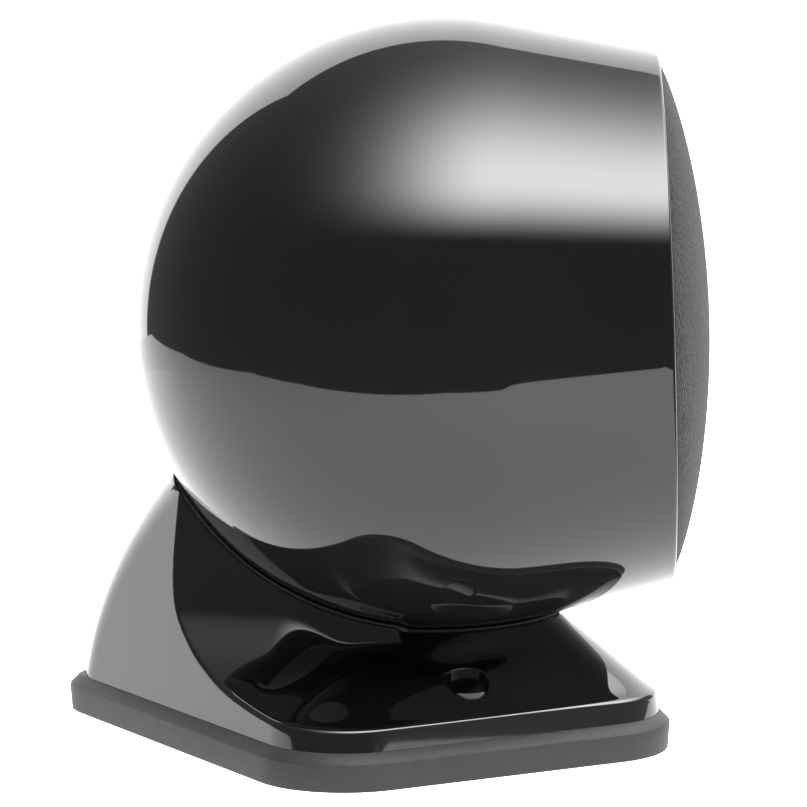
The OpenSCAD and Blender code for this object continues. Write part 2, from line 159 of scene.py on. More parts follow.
def dress(obj, body, mat, stands_for):
    obj.data.materials.clear()
    obj.data.materials.append(mat)
    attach(obj, body)
    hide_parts(*stands_for)


def revolve(profile, segments, matrix=None, closed=True):
    """Points and faces of a closed (r, z) profile turned round the Z axis."""
    profile = [(max(r, 0.0), z) for r, z in profile]
    n = len(profile)
    verts, faces = [], []
    for k in range(segments):
        t = 2 * math.pi * k / segments
        c, s = math.cos(t), math.sin(t)
        for r, z in profile:
            p = Vector((r * c, r * s, z))
            verts.append(matrix @ p if matrix else p)
    for k in range(segments):
        m = (k + 1) % segments
        for i in range(n if closed else n - 1):
            j = (i + 1) % n
            faces.append((k * n + i, k * n + j, m * n + j, m * n + i))
    return verts, faces


def rounded(points, radius, steps=5):
    """A closed (r, z) loop with its corners rounded. radius is one number, or one for each point."""
    out = []
    n = len(points)
    radii = radius if isinstance(radius, (list, tuple)) else [radius] * n
    for i in range(n):
        p = np.array(points[i], float)
        a, b = np.array(points[i - 1], float), np.array(points[(i + 1) % n], float)
        la, lb = np.linalg.norm(a - p), np.linalg.norm(b - p)
        d = min(radii[i], la * 0.49, lb * 0.49)
        if d < 1e-4 or p[0] < 1e-6:
            out.append(tuple(p))
            continue
        s, e = p + (a - p) / la * d, p + (b - p) / lb * d
        for k in range(steps + 1):
            t = k / steps
            out.append(tuple((1 - t) ** 2 * s + 2 * t * (1 - t) * p + t * t * e))
    return out


def cut(obj, cutters):
    """Takes closed cutter meshes out of obj, with the result applied."""
    for c in cutters:
        mod = obj.modifiers.new("cut", "BOOLEAN")
        mod.operation = "DIFFERENCE"
        mod.solver = "EXACT"
        mod.object = c
    bpy.context.view_layer.update()
    made = bpy.data.meshes.new_from_object(obj.evaluated_get(bpy.context.evaluated_depsgraph_get()))
    obj.modifiers.clear()
    obj.data = made
    for c in cutters:
        bpy.data.objects.remove(c)


def loose(name, verts, faces):
    mesh = bpy.data.meshes.new(name)
    mesh.from_pydata([Vector(v) * MM for v in verts], [], faces)
    finish_mesh(mesh, smooth=False)
    obj = bpy.data.objects.new(name, mesh)
    bpy.context.scene.collection.objects.link(obj)
    return obj


def drum(x, y, z0, z1, radius, segments=48):
    """A closed cutter: an upright cylinder at x, y."""
    place = Matrix.Translation((x, y, 0))
    verts, faces = revolve([(0, z0), (radius, z0), (radius, z1), (0, z1)], segments, place)
    return loose("cutter", verts, faces)


def slab(x0, y0, z0, x1, y1, z1, matrix=None):
    """A closed cutter: a box between two corners."""
    pts = [Vector(p) for p in [(x0, y0, z0), (x1, y0, z0), (x1, y1, z0), (x0, y1, z0),
                               (x0, y0, z1), (x1, y0, z1), (x1, y1, z1), (x0, y1, z1)]]
    pts = [matrix @ p for p in pts] if matrix else pts
    return loose("cutter", pts, [(0, 3, 2, 1), (4, 5, 6, 7), (0, 1, 5, 4), (1, 2, 6, 5),
                                 (2, 3, 7, 6), (3, 0, 4, 7)])


# ---------- Materials ----------

def node_material(name):
    mat = bpy.data.materials.new(name)
    mat.use_nodes = True
    tree = mat.node_tree
    shader = tree.nodes["Principled BSDF"]
    return mat, tree, shader


def link(tree, a, out, b, inp):
    tree.links.new(a.outputs[out], b.inputs[inp])


def coords(tree, scale=(1, 1, 1)):
    source = tree.nodes.new("ShaderNodeTexCoord")
    mapping = tree.nodes.new("ShaderNodeMapping")
    mapping.inputs["Scale"].default_value = scale
    link(tree, source, "Object", mapping, "Vector")
    return mapping


def noise(tree, source, scale, detail=4, rough=0.55):
    n = tree.nodes.new("ShaderNodeTexNoise")
    n.inputs["Scale"].default_value = scale
    n.inputs["Detail"].default_value = detail
    n.inputs["Roughness"].default_value = rough
    link(tree, source, "Vector", n, "Vector")
    return n


def spread(tree, source, out, low, high, start=0.3, stop=0.7):
    r = tree.nodes.new("ShaderNodeMapRange")
    r.inputs["From Min"].default_value = start
    r.inputs["From Max"].default_value = stop
    r.inputs["To Min"].default_value = low
    r.inputs["To Max"].default_value = high
    link(tree, source, out, r, "Value")
    return r


def tint(tree, factor, out, low, high):
    ramp = tree.nodes.new("ShaderNodeValToRGB")
    ramp.color_ramp.elements[0].position = 0.3
    ramp.color_ramp.elements[1].position = 0.7
    ramp.color_ramp.elements[0].color = (*low, 1)
    ramp.color_ramp.elements[1].color = (*high, 1)
    link(tree, factor, out, ramp, "Fac")
    return ramp


def bump(tree, height, out, strength, distance_mm, chain=None):
    b = tree.nodes.new("ShaderNodeBump")
    b.inputs["Strength"].default_value = strength
    b.inputs["Distance"].default_value = distance_mm * MM
    link(tree, height, out, b, "Height")
    if chain:
        link(tree, chain, "Normal", b, "Normal")
    return b


def plain(name, low, high, rough, metal=0.0, scale=400, grain=1500, depth=0.02, strength=0.3,
          stretch=(1, 1, 1), sheen=0.0, ior=1.5, coat=0.0):
    """Colour and roughness that vary over the surface, with a fine grain in the normals."""
    mat, tree, shader = node_material(name)
    place = coords(tree, stretch)
    broad = noise(tree, place, scale)
    fine = noise(tree, place, grain, 6, 0.6)
    link(tree, tint(tree, broad, "Fac", low, high), "Color", shader, "Base Color")
    link(tree, spread(tree, fine, "Fac", rough[0], rough[1]), "Result", shader, "Roughness")
    link(tree, bump(tree, fine, "Fac", strength, depth), "Normal", shader, "Normal")
    shader.inputs["Metallic"].default_value = metal
    shader.inputs["IOR"].default_value = ior
    shader.inputs["Sheen Weight"].default_value = sheen
    shader.inputs["Sheen Roughness"].default_value = 0.5
    shader.inputs["Coat Weight"].default_value = coat
    return mat


def grey(v):
    return (v, v, v)


def gloss_black():
    """Polished black moulding: hardly any grain, faint wipe marks in the gloss."""
    mat, tree, shader = node_material("gloss_black")
    place = coords(tree)
    broad = noise(tree, place, 25, 3)
    wipe = noise(tree, coords(tree, (1, 6, 6)), 60, 8, 0.65)
    link(tree, tint(tree, broad, "Fac", grey(0.0075), grey(0.0095)), "Color", shader, "Base Color")
    link(tree, spread(tree, wipe, "Fac", 0.028, 0.05), "Result", shader, "Roughness")
    link(tree, bump(tree, broad, "Fac", 0.015, 0.05), "Normal", shader, "Normal")
    shader.inputs["IOR"].default_value = 1.5
    return mat


def foot_rubber():
    return plain("foot_rubber", grey(0.026), grey(0.034), (0.55, 0.7), scale=180, grain=3500,
                 depth=0.05, strength=0.25, ior=1.4)


def grille_cloth():
    """Fine knitted cloth over a perforated dome: two sizes of stitch, in the normals and colour."""
    mat, tree, shader = node_material("grille_cloth")
    place = coords(tree)
    stitch = tree.nodes.new("ShaderNodeTexVoronoi")
    stitch.inputs["Scale"].default_value = 1150
    stitch.inputs["Randomness"].default_value = 0.8
    link(tree, place, "Vector", stitch, "Vector")
    patch = noise(tree, place, 260, 6, 0.7)
    fuzz = noise(tree, place, 2600, 4, 0.6)
    mix = tree.nodes.new("ShaderNodeMath")
    mix.operation = "MULTIPLY"
    link(tree, spread(tree, stitch, "Distance", 1.0, 0.25, 0.0, 0.75), "Result", mix, 0)
    link(tree, spread(tree, patch, "Fac", 0.75, 1.25), "Result", mix, 1)
    link(tree, tint(tree, mix, "Value", grey(0.007), grey(0.036)), "Color", shader, "Base Color")
    first = bump(tree, mix, "Value", 0.85, 0.25)
    link(tree, bump(tree, fuzz, "Fac", 0.3, 0.06, first), "Normal", shader, "Normal")
    link(tree, spread(tree, fuzz, "Fac", 0.75, 0.95), "Result", shader, "Roughness")
    shader.inputs["Sheen Weight"].default_value = 0.06
    shader.inputs["Sheen Roughness"].default_value = 0.4
    shader.inputs["IOR"].default_value = 1.35
    return mat


def wound(name, low, high, rough, metal, pitch_mm, axis_scale):
    """Parallel turns of wire, or the ribs of a cloth: a wave in the colour and the normals."""
    mat, tree, shader = node_material(name)
    place = coords(tree, axis_scale)
    wave = tree.nodes.new("ShaderNodeTexWave")
    wave.inputs["Scale"].default_value = 0.314 / (pitch_mm * MM)
    wave.inputs["Distortion"].default_value = 0.6
    wave.inputs["Detail"].default_value = 2
    link(tree, place, "Vector", wave, "Vector")
    fine = noise(tree, place, 900)
    link(tree, tint(tree, wave, "Fac", low, high), "Color", shader, "Base Color")
    link(tree, spread(tree, fine, "Fac", rough[0], rough[1]), "Result", shader, "Roughness")
    link(tree, bump(tree, wave, "Fac", 0.6, 0.1), "Normal", shader, "Normal")
    shader.inputs["Metallic"].default_value = metal
    return mat


def palette():
    """One material for each of the record's slots."""
    turned = (1, 1, 9)
    return {
        "gloss_black": gloss_black(),
        "foot_rubber": foot_rubber(),
        "grille_mesh": grille_cloth(),
        "matte_black": plain("matte_black", grey(0.018), grey(0.026), (0.45, 0.6)),
        "zinc_steel": plain("zinc_steel", grey(0.48), grey(0.62), (0.24, 0.4), metal=1, stretch=turned),
        "spring_steel": plain("spring_steel", grey(0.26), grey(0.36), (0.22, 0.36), metal=1),
        "brass": plain("brass", (0.6, 0.43, 0.18), (0.74, 0.56, 0.27), (0.2, 0.34), metal=1,
                       stretch=turned),
        "nylon": plain("nylon", (0.7, 0.7, 0.64), (0.8, 0.8, 0.74), (0.42, 0.55)),
        "felt": plain("felt", grey(0.012), grey(0.028), (0.88, 1), scale=700, grain=5000, depth=0.3,
                      strength=0.8, sheen=0.4),
        "foam": plain("foam", grey(0.016), grey(0.036), (0.85, 0.95), scale=1500, depth=0.2,
                      strength=0.7),
        "basket_paint": plain("basket_paint", grey(0.016), grey(0.024), (0.34, 0.5), grain=900,
                              depth=0.05),
        "ferrite": plain("ferrite", grey(0.04), grey(0.06), (0.5, 0.68), scale=250),
        "cone_paper": plain("cone_paper", grey(0.018), grey(0.034), (0.6, 0.78), scale=600,
                            grain=2600, depth=0.08, strength=0.6),
        "roll_rubber": plain("roll_rubber", grey(0.011), grey(0.016), (0.4, 0.55)),
        "spider_cloth": wound("spider_cloth", (0.42, 0.28, 0.11), (0.6, 0.44, 0.21), (0.7, 0.85), 0,
                              0.7, (1, 1, 1)),
        "copper": wound("copper", (0.42, 0.16, 0.06), (0.75, 0.38, 0.17), (0.22, 0.35), 1, 0.5,
                        (0.05, 0.05, 1)),
        "board": plain("board", (0.015, 0.09, 0.04), (0.028, 0.14, 0.07), (0.3, 0.42), coat=0.3),
        "film_yellow": plain("film_yellow", (0.58, 0.4, 0.05), (0.7, 0.5, 0.09), (0.2, 0.34)),
        "wadding": plain("wadding", grey(0.62), grey(0.84), (0.9, 1), scale=220, grain=2200,
                         depth=0.6, strength=0.9, stretch=(1, 3, 1), sheen=0.3),
        "button_red": plain("button_red", (0.38, 0.016, 0.012), (0.48, 0.03, 0.022), (0.22, 0.34)),
        "button_black": plain("button_black", grey(0.01), grey(0.015), (0.22, 0.34)),
    }


# ---------- Plan of the base ----------

NF = math.atan2(FRONT_X, SIDE_Y)
NR = math.pi - math.atan2(REAR_X, SIDE_Y)
FRONT_C = FRONT_X * math.cos(NF)
REAR_C = -REAR_X * math.cos(NR)


def corner_hit(c, q, a):
    return c * np.cos(a) + np.sqrt(np.maximum(0, q * q - (c * np.sin(a)) ** 2))


def kite_r(a, e, qf, qs, qr):
    """Radius of the kite outline with rounded corners at polar angles a, inset by e. Arrays allowed."""
    a, e, qf, qs, qr = np.broadcast_arrays(*[np.asarray(v, float) for v in (a, e, qf, qs, qr)])
    t = np.abs((a + math.pi) % (2 * math.pi) - math.pi)
    back = math.pi - NR
    cf, cb = (FRONT_C - e - qf) / math.cos(NF), (REAR_C - e - qr) / math.cos(back)
    a_front = np.arctan2(qf * math.sin(NF), cf + qf * math.cos(NF))
    a_back = math.pi - np.arctan2(qr * math.sin(back), cb + qr * math.cos(back))
    p, r = FRONT_C - e - qs, REAR_C - e - qs
    ox = (p * math.sin(NR) - r * math.sin(NF)) / math.sin(NR - NF)
    oy = (r * math.cos(NF) - p * math.cos(NR)) / math.sin(NR - NF)
    a_side1 = np.arctan2(oy + qs * math.sin(NF), ox + qs * math.cos(NF))
    a_side2 = np.arctan2(oy + qs * math.sin(NR), ox + qs * math.cos(NR))
    along = ox * np.cos(t) + oy * np.sin(t)
    side = along + np.sqrt(np.maximum(0, qs * qs - ox * ox - oy * oy + along * along))
    return np.select(
        [t < a_front, t < a_side1, t < a_side2, t < a_back],
        [corner_hit(cf, qf, t), (FRONT_C - e) / np.cos(t - NF), side, (REAR_C - e) / np.cos(t - NR)],
        corner_hit(cb, qr, math.pi - t),
    )


def plan_r(a, e):
    return kite_r(a, e, max(FRONT_R - e, 4), max(SIDE_R - e, 4), max(REAR_R - e, 4))


def wall_r(a, z, off):
    rise = z - FOOT_H
    return kite_r(a, INSET + off + rise * math.tan(DRAFT), FRONT_R - INSET, SIDE_R - INSET,
                  REAR_R + APEX_GROWTH * rise * rise)


def cup_z(r, off):
    return BALL_Z - np.sqrt((CUP_R + off) ** 2 - np.minimum(r, CUP_R + off - 0.5) ** 2)


def open_z(a, r, off):
    """Pedestal, with a shallow hollow round each mounting hole, and hump flanks, without the cup."""
    edge = plan_r(a, INSET)
    s = np.maximum(0, (edge - r) / (edge - SEAT_EDGE_R))
    pedestal = SKIRT_Z + (SEAT_RISE + FRONT_RISE * np.maximum(0, np.cos(a)) ** 2) * s ** CLIMB
    turn = np.abs((a + math.pi) % (2 * math.pi) - math.pi)
    out, round_it = (s - HOLLOW_CENTRE) / HOLLOW_LENGTH, (turn - HOLLOW_AT) / HOLLOW_WIDE
    pedestal = pedestal - HOLLOW * np.exp(-out ** 2 - round_it ** 2)
    x, d = r * np.cos(a), np.abs(r * np.sin(a)) + off - HUMP_HALF
    t = np.clip((FLANK_FADE_X - x) / FLANK_FADE_LENGTH, 0, 1)
    steep = STEEP_RISE * np.exp(np.minimum(-d / STEEP_LENGTH, 50))
    fall = FILLET_RISE * np.exp(-d / FILLET_LENGTH) + steep
    flank = SKIRT_Z + FLANK_BASE + t * t * (3 - 2 * t) * np.minimum(FLANK_CAP, fall)
    gap = np.sqrt((pedestal - flank) ** 2 + SOFT_MAX_WIDTH_SQUARED)
    return (pedestal + flank + gap) / 2 - off


def top_z(a, r, off):
    """Top of the cover, or the surface at off under it."""
    low = FOOT_H + (0.4 if off > 0 else 1)
    return np.maximum(low, np.minimum(open_z(a, r, off), cup_z(r, off)))


def ridge_z(a, off):
    """Height at which the wall meets the top, by bisection."""
    lo, hi = np.full_like(a, FOOT_H), np.full_like(a, 66.0)
    for _ in range(30):
        mid = (lo + hi) / 2
        above = top_z(a, wall_r(a, mid, off), off) > mid
        lo, hi = np.where(above, mid, lo), np.where(above, hi, mid)
    return (lo + hi) / 2


def loop_angles(fine_deg, coarse_deg):
    """Polar angles all round, closer together where the hump's flanks and the side corners are."""
    half = list(np.arange(0, 84, coarse_deg)) + list(np.arange(84, 162, fine_deg))
    half += list(np.arange(162, 179.99, coarse_deg))
    half = np.radians(half)
    return np.concatenate([half, [math.pi], 2 * math.pi - half[:0:-1]])


# ---------- Base cover ----------

def smooth_path(r, z, width_mm, spacing):
    """Rounds the corners of columns of points by a running mean, with both ends held."""
    k = max(1, int(round(width_mm / spacing / 2)))
    out = []
    for v in (r, z):
        padded = np.concatenate([2 * v[:, :1] - v[:, k:0:-1], v, 2 * v[:, -1:] - v[:, -2:-k - 2:-1]], 1)
        total = np.cumsum(np.concatenate([np.zeros((len(v), 1)), padded], 1), 1)
        out.append((total[:, 2 * k + 1:] - total[:, :-(2 * k + 1)]) / (2 * k + 1))
    return out


def cover_columns(angles, rows):
    """Outer surface of the cover as columns of (r, z), from the bottom edge to the hub.
    Rows gather where a column bends, so that rows follow the rounded edges."""
    n, fine = len(angles), 2600
    zr = ridge_z(angles, 0)
    re = wall_r(angles, zr, 0)
    t = np.linspace(0, 1, 500)[None, :]
    wz = FOOT_H + (zr[:, None] - FOOT_H) * t
    wr = wall_r(angles[:, None], wz, 0)
    u = np.linspace(0, 1, 9000)[None, :]
    tr = re[:, None] + (HUB_R - re[:, None]) * u
    tz = top_z(angles[:, None], tr, 0)
    r, z = np.concatenate([wr, tr[:, 1:]], 1), np.concatenate([wz, tz[:, 1:]], 1)
    length = np.concatenate([np.zeros((n, 1)), np.cumsum(np.hypot(np.diff(r), np.diff(z)), 1)], 1)
    spacing = length[:, -1] / (fine - 1)
    er, ez = np.empty((n, fine)), np.empty((n, fine))
    for i in range(n):
        s = np.linspace(0, length[i, -1], fine)
        er[i], ez[i] = np.interp(s, length[i], r[i]), np.interp(s, length[i], z[i])
    mean = float(spacing.mean())
    # The skirt has a wide round, the ridge up the hump a smaller one, and the cup's edge is crisp
    skirt, ridge, crisp = (er, ez), (er, ez), (er, ez)
    for _ in range(2):
        skirt = smooth_path(*skirt, SKIRT_ROUND, mean)
        ridge = smooth_path(*ridge, RIDGE_ROUND, mean)
        crisp = smooth_path(*crisp, CRISP_ROUND, mean)
    low = np.clip((ez - SKIRT_TO_RIDGE_Z) / SKIRT_TO_RIDGE_H, 0, 1)
    high = np.clip((ez - RIDGE_TO_CUP_Z) / RIDGE_TO_CUP_H, 0, 1)
    er, ez = [(s * (1 - low) + r * low) * (1 - high) + c * high for s, r, c in zip(skirt, ridge, crisp)]
    dr, dz = np.gradient(er, axis=1), np.gradient(ez, axis=1)
    heading = np.unwrap(np.arctan2(dz, dr), axis=1)
    bend = np.abs(np.gradient(heading, axis=1)) / spacing[:, None]
    bend_gain, bend_cap, blur_mm = 9, 1.2, 1.2
    weight = 1 + bend_gain * np.minimum(bend, bend_cap)
    k = int(round(blur_mm / mean))
    pad = np.pad(weight, ((0, 0), (k, k)), mode="edge")
    total = np.cumsum(np.concatenate([np.zeros((n, 1)), pad], 1), 1)
    weight = (total[:, 2 * k + 1:] - total[:, :-(2 * k + 1)]) / (2 * k + 1)
    amount = np.cumsum(weight, 1)
    amount = (amount - amount[:, :1]) / (amount[:, -1:] - amount[:, :1])
    goal = np.linspace(0, 1, rows)
    pr, pz = np.empty((n, rows)), np.empty((n, rows))
    for i in range(n):
        pr[i], pz[i] = np.interp(goal, amount[i], er[i]), np.interp(goal, amount[i], ez[i])
    return pr, pz


def build_cover(mat):
    angles = loop_angles(0.45, 0.8)
    pr, pz = cover_columns(angles, 104)
    inner_z = ridge_z(angles, COVER_T)
    zs = [FOOT_H + (inner_z - FOOT_H) * f for f in (0, 0.5, 1)]
    inner = [(wall_r(angles, z, COVER_T), z) for z in zs]
    edge = inner[-1][0]
    for f in (0.1, 0.25, 0.45, 0.7, 1):
        r = edge + (HUB_R - edge) * f
        inner.append((r, top_z(angles, r, COVER_T)))
    r_all = np.concatenate([pr] + [r[:, None] for r, _ in reversed(inner)], 1)
    z_all = np.concatenate([pz] + [z[:, None] for _, z in reversed(inner)], 1)
    n, m = r_all.shape
    x, y = r_all * np.cos(angles)[:, None], r_all * np.sin(angles)[:, None]
    verts = np.stack([x, y, z_all], 2).reshape(-1, 3)
    idx = np.arange(n * m).reshape(n, m)
    nxt, down = np.roll(idx, -1, 0), np.roll(idx, -1, 1)
    both = np.roll(nxt, -1, 1)
    faces = np.stack([idx, down, both, nxt], 2).reshape(-1, 4)
    mesh = bpy.data.meshes.new("cover")
    mesh.from_pydata((verts * MM).tolist(), [], faces.tolist())
    bm = bmesh.new()
    bm.from_mesh(mesh)
    bmesh.ops.remove_doubles(bm, verts=bm.verts, dist=2e-6)
    bmesh.ops.recalc_face_normals(bm, faces=bm.faces)
    for side in (-1, 1):
        open_hole(bm, HOLE_X, side * HOLE_Y)
    bmesh.ops.recalc_face_normals(bm, faces=bm.faces)
    bm.to_mesh(mesh)
    bm.free()
    mesh.shade_smooth()
    mesh.set_sharp_from_angle(angle=math.radians(50))
    obj = bpy.data.objects.new("cover", mesh)
    bpy.context.scene.collection.objects.link(obj)
    dress(obj, "base", mat, ["base_cover"])
    return obj


def open_hole(bm, x, y):
    """Replaces a round patch of the cover's top by rings down into a countersunk hole."""
    reach, lowest = 8.2 * MM, 13.2 * MM
    doomed = []
    for f in bm.faces:
        c = f.calc_center_median()
        near = math.hypot(c.x - x * MM, c.y - y * MM) < reach
        if near and f.normal.z > 0.2 and c.z > lowest:
            doomed.append(f)
    bmesh.ops.delete(bm, geom=doomed, context="FACES")
    rim = [e for e in bm.edges if e.is_boundary]
    segments = 96
    rings = []

    def surface(px, py):
        a, r = math.atan2(py, px), math.hypot(px, py)
        return float(top_z(np.array([a]), np.array([r]), 0)[0])

    def ring(radius, height):
        """Zero or less is measured from the cover's top, and more than zero from the ground."""
        made = []
        for k in range(segments):
            t = 2 * math.pi * k / segments
            px, py = x + radius * math.cos(t), y + radius * math.sin(t)
            z = surface(px, py) + height if height <= 0 else height
            made.append(bm.verts.new(Vector((px, py, z)) * MM))
        rings.append(made)

    for radius in (7.2, 6.4, 5.8, 5.35, 5.1):
        ring(radius, 0)
    ring(4.95, -0.02)
    ring(4.8, -0.08)
    ring(4.7, -0.2)
    ring(HEAD_R, -0.42)
    ring(HEAD_R, SKIRT_Z + 6.45)
    ring(4.55, SKIRT_Z + 6.3)
    ring(HOLE_R + 0.1, SKIRT_Z + 4.1)
    ring(HOLE_R, SKIRT_Z + 3.9)
    ring(HOLE_R, FOOT_H + 0.6)
    ring(HOLE_R + 2.2, FOOT_H + 0.6)
    ring(HOLE_R + 2.2, SKIRT_Z + 4.4)
    for a, b in zip(rings, rings[1:]):
        for k in range(segments):
            m = (k + 1) % segments
            bm.faces.new((a[k], a[m], b[m], b[k]))
    bm.edges.ensure_lookup_table()
    first = rings[0]
    ring_edges = [bm.edges.get((first[k], first[(k + 1) % segments])) for k in range(segments)]
    bmesh.ops.triangle_fill(bm, edges=rim + ring_edges, use_beauty=True, use_dissolve=False)


# ---------- Foot ----------

def build_foot(mat):
    angles = loop_angles(1.2, 2.0)
    rows = [(0.9, 0.0), (0.5, 0.15), (0.35, 0.6), (0.0, FOOT_H - 2.35), (0.02, FOOT_H - 2.1),
            (0.15, FOOT_H - 1.86), (FOOT_CHAMFER - 0.25, FOOT_H - 0.1), (FOOT_CHAMFER, FOOT_H)]
    verts, faces, n = [], [], len(angles)
    for e, z in rows:
        r = plan_r(angles, e)
        verts += list(zip(r * np.cos(angles), r * np.sin(angles), np.full(n, z)))
    for k in range(len(rows) - 1):
        for i in range(n):
            j = (i + 1) % n
            faces.append((k * n + i, k * n + j, (k + 1) * n + j, (k + 1) * n + i))
    faces.append(tuple(range(n))[::-1])
    faces.append(tuple(range((len(rows) - 1) * n, len(rows) * n)))
    obj = loose("foot", verts, faces)
    cutters = [drum(HOLE_X, s * HOLE_Y, -1, FOOT_H + 1, HOLE_R) for s in (-1, 1)]
    for x, y in SCREW_PLACES:
        cutters.append(drum(x, y, -1, 4, 3.4))
        cutters.append(drum(x, y, 3, FOOT_H + 1, 1.7, segments=24))
    cutters.append(slab(TERM_X - 9, -14, -1, TERM_X + 9, 14, FOOT_H + 1))
    cutters.append(slab(TERM_X - 3.5, 5, -1, TERM_X + 3.5, 60, 5))
    cutters.append(drum(0, 0, FOOT_H - 0.8, FOOT_H + 1, 13))
    cut(obj, cutters)
    obj.data.shade_smooth()
    obj.data.set_sharp_from_angle(angle=math.radians(28))
    dress(obj, "base", mat, ["foot_pad"])
    return obj


# ---------- Ball ----------

def build_ball(mat):
    inner_r = BALL_R - SHELL_T
    recess_r = GRILLE_R + 0.2
    inner_tan_z = inner_r * math.sin(CONE_HALF)
    ledge_r = inner_r * math.cos(CONE_HALF) - (BAFFLE_FRONT - inner_tan_z) * math.tan(CONE_HALF)
    last = math.pi / 2 + CONE_HALF
    outer = [(BALL_R * math.sin(last * i / 120), -BALL_R * math.cos(last * i / 120)) for i in range(121)]
    cone = [(TANGENT_R + (RIM_R - TANGENT_R) * i / 10, TANGENT_Z + (RIM_Z - TANGENT_Z) * i / 10)
            for i in range(1, 10)]
    lip = rounded([(RIM_R + 0.5, RIM_Z - 2.2), (RIM_R, RIM_Z), (recess_r, RIM_Z), (recess_r, RIM_Z - 2)],
                  [0, 0.7, 0.45, 0], 7)[1:-1]
    inside = [(recess_r, BAFFLE_FRONT), (ledge_r, BAFFLE_FRONT)]
    inside += [(inner_r * math.sin(last * i / 40), -inner_r * math.cos(last * i / 40))
               for i in range(40, -1, -1)]
    verts, faces = revolve(outer + cone + lip + inside, 300, AIM, closed=False)
    obj = loose("ball", verts, faces)
    # The slot that the stem stands in, long enough for the tilt
    reach, mid, half_w = BALL_R * math.sin(math.radians(7)), math.radians(99), 6.5
    turn = AIM @ Matrix.Rotation(mid, 4, "Y") @ Matrix.Translation((0, 0, BALL_R - 12))
    arc = np.linspace(-math.pi / 2, math.pi / 2, 33)
    loop = [(reach + half_w * math.cos(t), half_w * math.sin(t)) for t in arc]
    loop += [(-reach - half_w * math.cos(t), -half_w * math.sin(t)) for t in arc]
    n = len(loop)
    pts = [turn @ Vector((p[0], p[1], z)) for z in (0, 17) for p in loop]
    sides = [(i, (i + 1) % n, n + (i + 1) % n, n + i) for i in range(n)]
    cut(obj, [loose("cutter", pts, sides + [tuple(range(n))[::-1], tuple(range(n, 2 * n))])])
    obj.data.shade_smooth()
    obj.data.set_sharp_from_angle(angle=math.radians(35))
    dress(obj, "cabinet", mat, ["ball_shell"])
    return obj


def build_grille(mat):
    def dome(r):
        return GRILLE_H * max(0, 1 - (r / GRILLE_R) ** 2) ** 0.8

    base = RIM_Z - 0.6
    steps = 110
    radii = [GRILLE_R * math.sin(math.pi / 2 * i / steps) for i in range(steps + 1)]
    outer = [(r, base + dome(r)) for r in radii]
    inner_r = GRILLE_R - GRILLE_T
    inner = []
    for i in range(30, -1, -1):
        t = math.pi / 2 * i / 30
        r = GRILLE_R * math.sin(t)
        inner.append((r * inner_r / GRILLE_R, base + dome(r) - GRILLE_T * math.cos(t)))
    profile = outer + [(GRILLE_R, base - 0.2), (inner_r, base - 0.2)] + inner
    verts, faces = revolve(profile, 320, AIM, closed=False)
    return make("grille", verts, faces, "cabinet", mat, ["grille_dome"])


# ---------- Pieces inside and underneath ----------

def build_wadding(mat):
    """Loose wadding pressed into the back of the ball: lumpy inside, with a soft rolled edge."""
    outer_r, inner_r, spokes = BALL_R - SHELL_T - 0.5, BALL_R - SHELL_T - 7.6, 150
    edge_t = math.radians(52)
    bend = (outer_r - inner_r) / 2
    loop = [(outer_r, edge_t * i / 46) for i in range(47)]
    for i in range(1, 10):
        t = math.pi * i / 10
        loop.append(((outer_r + inner_r) / 2 + bend * math.cos(t), edge_t + bend / outer_r * math.sin(t)))
    loop += [(inner_r, edge_t * i / 46) for i in range(46, -1, -1)]
    verts, faces, n = [], [], len(loop)
    for k in range(spokes):
        turn = 2 * math.pi * k / spokes
        for r, t in loop:
            way = Vector((math.sin(t) * math.cos(turn), math.sin(t) * math.sin(turn), -math.cos(t)))
            inward = (outer_r - r) / (outer_r - inner_r)
            lump = noise_at(way * 7) * 1.5 + noise_at(way * 19) * 0.6
            verts.append(AIM @ (way * (r + lump * inward - 0.35 * abs(noise_at(way * 23)))))
    for k in range(spokes):
        m = (k + 1) % spokes
        faces += [(k * n + i, k * n + i + 1, m * n + i + 1, m * n + i) for i in range(n - 1)]
    piece = make("wadding", verts, faces, "cabinet", mat, ["damping_pad"], sharp_deg=80)
    return piece


def build_screws(mat):
    """Four pan-headed screws with crossed recesses, which hold the cover from below."""
    verts, faces = [], []
    shape = rounded([(0, 1.8), (3, 1.8), (3, 3.9), (1.2, 3.9), (1.2, 9.4), (0, 9.6)],
                    [0, 0.9, 0.1, 0.15, 0.5, 0], 6)
    for x, y in SCREW_PLACES:
        points, skin = revolve(shape, 48, Matrix.Translation((x, y, 0)), closed=False)
        faces += [tuple(i + len(verts) for i in f) for f in skin]
        verts += points
    obj = loose("cover_screws_shaped", verts, faces)
    cutters = []
    for x, y in SCREW_PLACES:
        for quarter in (0.4, 0.4 + math.pi / 2):
            place = Matrix.Translation((x, y, 0)) @ Matrix.Rotation(quarter, 4, "Z")
            cutters.append(slab(-1.7, -0.32, 1.5, 1.7, 0.32, 3.0, place))
    cut(obj, cutters)
    obj.data.shade_smooth()
    obj.data.set_sharp_from_angle(angle=math.radians(35))
    dress(obj, "base", mat, ["cover_screws"])
    return obj


